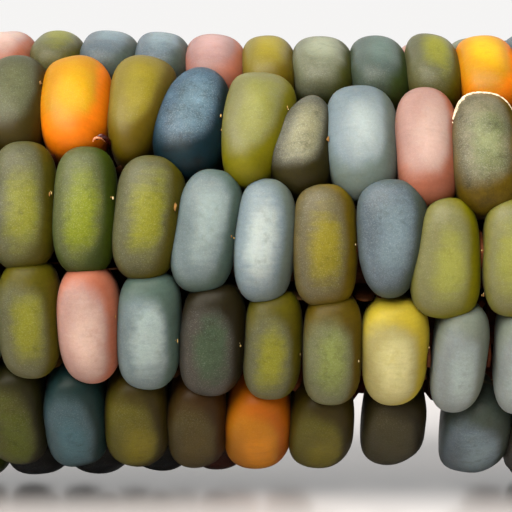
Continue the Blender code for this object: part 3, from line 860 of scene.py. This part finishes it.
def chaff():
    """The papery glumes that hold the kernels: they show as red-brown scraps down in the gaps."""
    points, faces, tints, own = [], [], [], []
    scatter = random.Random(77)
    browns = [linear(c) for c in ((76, 36, 8), (62, 24, 5), (88, 50, 14), (96, 62, 24), (52, 18, 5), (84, 40, 10))]
    straws = [linear(c) for c in ((176, 138, 92), (150, 108, 66), (196, 164, 118), (130, 84, 50))]

    def put(p, f, tint):
        start = sum(len(q) for q in points)
        points.append(np.array(p))
        faces.append(facing_out(points[-1], np.array(f))[0] + start)
        tints.append(np.tile(tint, (len(p), 1)))
        own.append(np.array(p) + [scatter.uniform(-50, 50), 0, 0])

    def add(base, along_dir, up_dir, out_dir, width, height, curl, ragged, tint, **more):
        put(*leaf_strip(base, along_dir, up_dir, out_dir, width, height, curl, ragged, scatter, **more), tint)

    X = np.array([1.0, 0.0, 0.0])
    for rank in range(1, RANKS + 1):
        for left, right, drop, place in grains_of(rank):
            lost = drop is None
            for x in (left, (left + right) / 2) if lost else (left,):
                angle = rank_angles(rank, x)[0]
                (oy, oz), (uy, uz) = frame_at(angle)
                outward, upward = np.array([0, oy, oz]), np.array([0, uy, uz])
                cob_r = along(COB_PROFILE, x)
                crown = smoothed(CROWN_PROFILE, x)
                base = np.array([x, 0, AXIS_HEIGHT]) + outward * (cob_r - 0.2) + X * scatter.uniform(-0.15, 0.15)
                reach = (crown - cob_r) * (scatter.uniform(0.16, 0.40) if lost else scatter.uniform(0.72, 0.84))
                if rank == 5 and 4.0 < x < 16.0:
                    reach *= 0.33
                if crown - cob_r < 6.0:
                    reach *= 0.9
                if x < -74.5 or x > 76.5:
                    # At the open ends the glumes stand free.
                    for k in range(3):
                        shift = upward * (k - 1) * cob_r * 0.17 + upward * scatter.uniform(-0.2, 0.2)
                        ahead = (-X if x < 0 else X)
                        out = outward * math.cos(0.35) + ahead * math.sin(0.35) * (1.0 - 0.5 * (k != 1))
                        tone = scatter.uniform(0.75, 1.1)
                        put(*glume(base + shift + ahead * scatter.uniform(-0.1, 0.35) + outward * 0.1, upward, out, -ahead, cob_r * scatter.uniform(0.30, 0.42),
                                   (crown - cob_r) * (scatter.uniform(0.24, 0.40) if k != 1 else scatter.uniform(0.36, 0.52)), scatter.uniform(0.5, 0.9), scatter),
                            [c * tone for c in scatter.choice(straws)])
                    continue
                add(base + upward * scatter.uniform(-0.5, 0.5), upward, X, outward, 2 * cob_r * 0.24, reach, scatter.uniform(-0.25, 0.25), 0.35,
                    [c * scatter.uniform(0.7, 1.2) for c in scatter.choice(browns)], thick=0.03 if lost else 0.24)
        # along the furrow between this rank and the one above
        x = RANK_START + 1.0
        while x < RANK_END - 1.0:
            angle = math.radians(furrow_angle(rank - 1, x))
            (oy, oz), (uy, uz) = frame_at(angle)
            outward, upward = np.array([0, oy, oz]), np.array([0, uy, uz])
            cob_r, crown = along(COB_PROFILE, x), smoothed(CROWN_PROFILE, x)
            base = np.array([x, 0, AXIS_HEIGHT]) + outward * (cob_r - 0.2)
            reach = (crown - cob_r) * scatter.uniform(0.62, 0.78)
            if rank == 2 and 1.0 < x < 6.0:
                reach *= 0.75
            if rank in (6, 7, 8, 9) and -3.0 < x < 21.0:
                reach *= 0.4
            add(base, X, upward, outward, scatter.uniform(2.2, 3.6), reach, scatter.uniform(-0.2, 0.2), 0.4,
                [c * scatter.uniform(0.7, 1.2) for c in scatter.choice(straws if x < -74.0 or x > 76.0 else browns)])
            x += scatter.uniform(1.9, 2.6)
    # Torn feet of the husk leaves round the stalk.
    for k in range(17):
        turn = 2 * math.pi * (k + scatter.uniform(-0.3, 0.3)) / 17
        (oy, oz), (uy, uz) = frame_at(turn)
        outward, upward = np.array([0, oy, oz]), np.array([0, uy, uz])
        x = -79.4 - scatter.uniform(0.0, 1.6)
        rise = scatter.uniform(0.35, 0.8)
        away = -X * rise + outward * (1.0 - rise)
        base = np.array([x, 0, AXIS_HEIGHT]) + outward * (5.0 if x > -80.4 else 4.7)
        add(base, upward, outward + X * 0.3, away / np.linalg.norm(away), scatter.uniform(1.6, 2.8), scatter.uniform(1.2, 2.6),
            scatter.uniform(0.1, 0.5), 0.5, linear(scatter.choice(((206, 178, 132), (186, 152, 104), (222, 200, 160)))))
    # The ovules at the tip that never filled: small, shrunken and pale.
    ball, ball_faces = PILLOWS[5]
    pales = [linear(c) for c in ((206, 176, 128), (184, 146, 96), (150, 112, 66), (222, 198, 152), (128, 84, 48))]
    x, row = 79.3, 0
    while x < 84.3:
        radius = float(np.interp(x, (79.0, 80.0, 81.4, 82.2, 83.0, 83.8, 84.4), (4.35, 4.0, 3.35, 2.9, 2.4, 1.75, 1.1)))
        number = max(int(2 * math.pi * radius / 1.12), 4)
        for k in range(number):
            turn = 2 * math.pi * (k + 0.5 * (row % 2) + scatter.uniform(-0.12, 0.12)) / number
            (oy, oz), (uy, uz) = frame_at(turn)
            outward, upward = np.array([0, oy, oz]), np.array([0, uy, uz])
            out = outward * 0.85 + X * 0.53
            side = X * 0.85 - outward * 0.53
            size = scatter.uniform(0.42, 0.58) * (1.0 - 0.05 * (x - 79.0))
            local = ball * [size * 0.85, size, size * scatter.uniform(0.7, 1.25)]
            local = local * (1.0 + 0.10 * np.sin(ball[:, :1] * 7.0 + k) * np.cos(ball[:, 1:2] * 6.0 + row))
            middle = np.array([x + scatter.uniform(-0.12, 0.12), 0, AXIS_HEIGHT]) + outward * (radius - 0.05)
            put(middle + local[:, :1] * side + local[:, 1:2] * upward + local[:, 2:] * out, ball_faces,
                [c * scatter.uniform(0.75, 1.1) for c in scatter.choice(pales)])
        x += 0.84
        row += 1
    # A split skin, curled back in a pale ragged edge round the top of one kernel.
    grain = [g for g in grains_of(2) if g[3] == 8][0]
    shape = kernel_shape(2, grain)
    columns, rows = 72, 3
    turns = np.radians(np.linspace(28.0, 196.0, columns + 1))
    fade = np.clip(np.sin((turns - turns[0]) / (turns[-1] - turns[0]) * math.pi), 0, 1) ** 0.6
    wide = np.radians(5.0 + 10.0 * np.exp(-((np.degrees(turns) - 140.0) / 26.0) ** 2) + 2.5 * np.sin(turns * 23.0) + 1.6 * np.sin(turns * 51.0)) * fade
    layers = []
    for lift in (0.07, -0.10):
        for i in range(rows + 1):
            tilt = np.radians(86.0 - 22.0 * np.clip(np.sin(turns), 0, 1) ** 1.5) - wide * (1.0 - i / rows)
            way = np.stack([np.cos(turns) * np.sin(tilt), np.sin(turns) * np.sin(tilt), np.cos(tilt)], axis=1)
            skin = kernel_surface(shape, way)[0]
            heart = kernel_surface(shape, np.array([[0.0, 0.0, 0.05]]))[0]
            core = heart - [[0.0, math.cos(shape["angle"]) * -2.0, math.sin(shape["angle"]) * 2.0]]
            away = skin - core
            away /= np.linalg.norm(away, axis=1, keepdims=True)
            raised = lift + (0.05 * np.abs(np.sin(turns * 17.0 + i)) if lift > 0 else 0.0)
            layers.append(skin + away * (np.reshape(raised, (-1, 1)) * np.ones((columns + 1, 1))))
    grid = np.arange(2 * (rows + 1) * (columns + 1)).reshape(2, rows + 1, columns + 1)
    quads = []
    for i in range(rows):
        for j in range(columns):
            quads.append([grid[0, i, j], grid[0, i, j + 1], grid[0, i + 1, j + 1], grid[0, i + 1, j]])
            quads.append([grid[1, i, j], grid[1, i + 1, j], grid[1, i + 1, j + 1], grid[1, i, j + 1]])
    loop = [(0, j) for j in range(columns + 1)] + [(i, columns) for i in range(1, rows + 1)]
    loop += [(rows, j) for j in range(columns - 1, -1, -1)] + [(i, 0) for i in range(rows - 1, 0, -1)]
    for (a, b), (c, d) in zip(loop, loop[1:] + loop[:1]):
        quads.append([grid[0, c, d], grid[0, a, b], grid[1, a, b], grid[1, c, d]])
    put(np.concatenate(layers), np.array(quads), linear((248, 222, 186)))
    # Small pale gold flecks between kernels: (along, degrees round, radius, size).
    for x, degrees, radius, size in FLECKS:
        (oy, oz), (uy, uz) = frame_at(math.radians(degrees))
        outward, upward = np.array([0, oy, oz]), np.array([0, uy, uz])
        for k in range(scatter.choice((1, 2, 2, 3))):
            grown = size * scatter.uniform(0.5, 0.9) * (1.0 if k == 0 else 0.6)
            local = ball * [grown * scatter.uniform(0.4, 0.8), grown * scatter.uniform(0.9, 2.2), grown * 0.5]
            local = local * (1.0 + 0.35 * np.sin(ball[:, :1] * 5.0 + k * 2.0 + x) * np.cos(ball[:, 2:] * 4.0 + x))
            middle = np.array([x, 0, AXIS_HEIGHT]) + outward * (radius + 0.03) + X * scatter.uniform(-0.1, 0.1) + upward * scatter.uniform(-0.25, 0.25) * (k > 0)
            put(middle + local[:, :1] * X + local[:, 1:2] * upward + local[:, 2:] * outward, ball_faces,
                linear(scatter.choice(((190, 160, 98), (172, 136, 78), (212, 188, 138), (148, 106, 54)))))
    made = mesh_object(
        "chaff", np.concatenate(points) * MM, [f for f in faces],
        [("FLOAT_COLOR", "tint", np.concatenate(tints)), ("FLOAT_VECTOR", "own", np.concatenate(own))], COB_SKIN,
    )
    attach(made, "root")
    return made


def chaff_curl():
    """A glossy, curled scrap of glume over the top of one kernel, and a pale salmon strand along its inner edge, a
    painted highlight.
    """
    n = Nodes("glossy_chaff")
    tint = n.read("tint").outputs["Color"]
    own = n.read("own").outputs["Vector"]
    mottle = n.step(n.noise(own, 4.0, 3.0, 0.6), 0.3, 0.7, 0.6, 1.35)
    n.put(n.shader.inputs["Base Color"], n.mix(1.0, tint, n.add("ShaderNodeCombineColor", inputs={0: mottle, 1: mottle, 2: mottle}).outputs[0], "MULTIPLY"))
    n.put(n.shader.inputs["Roughness"], n.step(mottle, 0.6, 1.35, 0.22, 0.38))
    points, faces, tints, count = [], [], [], 0
    sides = 8
    for path, widths, colour in (
        (((-0.30, -0.55, -0.07), (-0.22, -0.62, 0.14), (0.02, -0.62, 0.28), (0.30, -0.50, 0.16), (0.52, -0.15, -0.10), (0.74, 0.60, -0.46), (0.9, 1.6, -0.9)),
         (0.05, 0.15, 0.20, 0.22, 0.22, 0.22, 0.20), (62, 10, 10)),
        # The second strand, pale salmon, is a painted highlight on the curl's inner edge.
        (((-0.56, -0.72, -0.20), (-0.48, -0.78, 0.02), (-0.30, -0.82, 0.12), (-0.06, -0.80, 0.10), (0.2, -0.5, -0.02), (0.4, 0.3, -0.3)),
         (0.04, 0.09, 0.10, 0.09, 0.07, 0.04), (236, 150, 104)),
    ):
        path = np.array(path)
        rings = []
        for k, (at, width) in enumerate(zip(path, widths)):
            ahead = path[min(k + 1, len(path) - 1)] - path[max(k - 1, 0)]
            ahead /= np.linalg.norm(ahead)
            across = np.cross(ahead, [0.0, 1.0, 0.2])
            across /= np.linalg.norm(across)
            over = np.cross(ahead, across)
            spin = np.linspace(0, 2 * math.pi, sides, endpoint=False)
            rings.append(at + width * (np.cos(spin)[:, None] * across + 0.6 * np.sin(spin)[:, None] * over))
        body = np.concatenate(rings + [path[:1], path[-1:]]) + [-11.55, -14.10, AXIS_HEIGHT + 9.05]
        grid = np.arange(len(path) * sides).reshape(-1, sides)
        nxt = np.roll(grid, -1, axis=1)
        faces.append(np.stack([grid[:-1], nxt[:-1], nxt[1:], grid[1:]], axis=-1).reshape(-1, 4) + count)
        first, last = len(path) * sides, len(path) * sides + 1
        ends = [[first, nxt[0, k], grid[0, k]] for k in range(sides)] + [[last, grid[-1, k], nxt[-1, k]] for k in range(sides)]
        faces.append(np.array(ends) + count)
        points.append(body)
        tints.append(np.tile(linear(colour), (len(body), 1)))
        count += len(body)
    points = np.concatenate(points)
    made = mesh_object(
        "chaff_curl", points * MM, faces, [("FLOAT_COLOR", "tint", np.concatenate(tints)), ("FLOAT_VECTOR", "own", points)], n.material
    )
    bend = made.modifiers.new("round", "SUBSURF")
    bend.levels = bend.render_levels = 2
    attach(made, "root")
    return made


chaff()
chaff_curl()


# ------------------------------------------------------------------------------------------------ studio
def floor():
    made = mesh_object(
        "floor", np.array([[-3, -3, 0], [3, -3, 0], [3, 3, 0], [-3, 3, 0]]) + [0, 0, -0.00005], np.array([[0, 1, 2, 3]]), smooth=False
    )
    n = Nodes("pale_floor")
    n.shader.inputs["Base Color"].default_value = (0.62, 0.575, 0.55, 1.0)
    n.shader.inputs["Roughness"].default_value = 0.20
    made.data.materials.append(n.material)


def area_light(name, azimuth, elevation, distance, size, power, colour=(1, 1, 1)):
    lamp = bpy.data.lights.new(name, "AREA")
    lamp.shape, lamp.size, lamp.energy, lamp.color = "SQUARE", size, power, colour
    made = bpy.data.objects.new(name, lamp)
    bpy.context.scene.collection.objects.link(made)
    a, e = math.radians(azimuth), math.radians(elevation)
    back = np.array([math.sin(a) * math.cos(e), -math.cos(a) * math.cos(e), math.sin(e)])
    made.location = np.array([0, 0, AXIS_HEIGHT * MM]) + back * distance
    from mathutils import Vector

    made.rotation_mode = "QUATERNION"
    made.rotation_quaternion = Vector(-back).to_track_quat("-Z", "Y")
    return made


floor()
area_light("key", -30.0, 51.0, 0.60, 0.64, 10.4, (1.0, 0.985, 0.965))

# A white tent, brighter overhead and behind than in front.
world = bpy.data.worlds.new("white_tent")
bpy.context.scene.world = world
world.use_nodes = True
tent = world.node_tree
background = tent.nodes["Background"]
where = tent.nodes.new("ShaderNodeTexCoord")
split = tent.nodes.new("ShaderNodeSeparateXYZ")
tent.links.new(where.outputs["Generated"], split.inputs[0])
behind = tent.nodes.new("ShaderNodeMapRange")
behind.interpolation_type = "SMOOTHSTEP"
for socket, value in zip((1, 2, 3, 4), (-0.6, 0.8, 0.20, 0.93)):
    behind.inputs[socket].default_value = value
tent.links.new(split.outputs[1], behind.inputs[0])
above = tent.nodes.new("ShaderNodeMapRange")
above.interpolation_type = "SMOOTHSTEP"
for socket, value in zip((1, 2, 3, 4), (0.15, 0.9, 0.0, -0.34)):
    above.inputs[socket].default_value = value
tent.links.new(split.outputs[2], above.inputs[0])
total = tent.nodes.new("ShaderNodeMath")
total.operation = "ADD"
tent.links.new(behind.outputs[0], total.inputs[0])
tent.links.new(above.outputs[0], total.inputs[1])
tent.links.new(total.outputs[0], background.inputs[1])
background.inputs[0].default_value = (0.985, 0.975, 0.965, 1.0)
bpy.context.scene.view_settings.view_transform = "Standard"

# ------------------------------------------------------------------------------------------------ camera
CAMERA_ELEVATION = math.radians(3.0)
CAMERA_DISTANCE = 162.0 * MM
BELOW_AXIS = 0.41 * MM

camera_data = bpy.data.cameras.new("camera")
camera_data.sensor_width = 36.0
camera_data.lens = 139.0
camera_data.clip_start, camera_data.clip_end = 0.01, 20.0
camera = bpy.data.objects.new("camera", camera_data)
bpy.context.scene.collection.objects.link(camera)
back = np.array([0.0, -math.cos(CAMERA_ELEVATION), math.sin(CAMERA_ELEVATION)])
rise = np.array([0.0, math.sin(CAMERA_ELEVATION), math.cos(CAMERA_ELEVATION)])
camera.location = np.array([0.0, 0.0, AXIS_HEIGHT * MM]) + back * CAMERA_DISTANCE - rise * BELOW_AXIS
camera.rotation_euler = (math.pi / 2 - CAMERA_ELEVATION, 0.0, 0.0)
bpy.context.scene.camera = camera
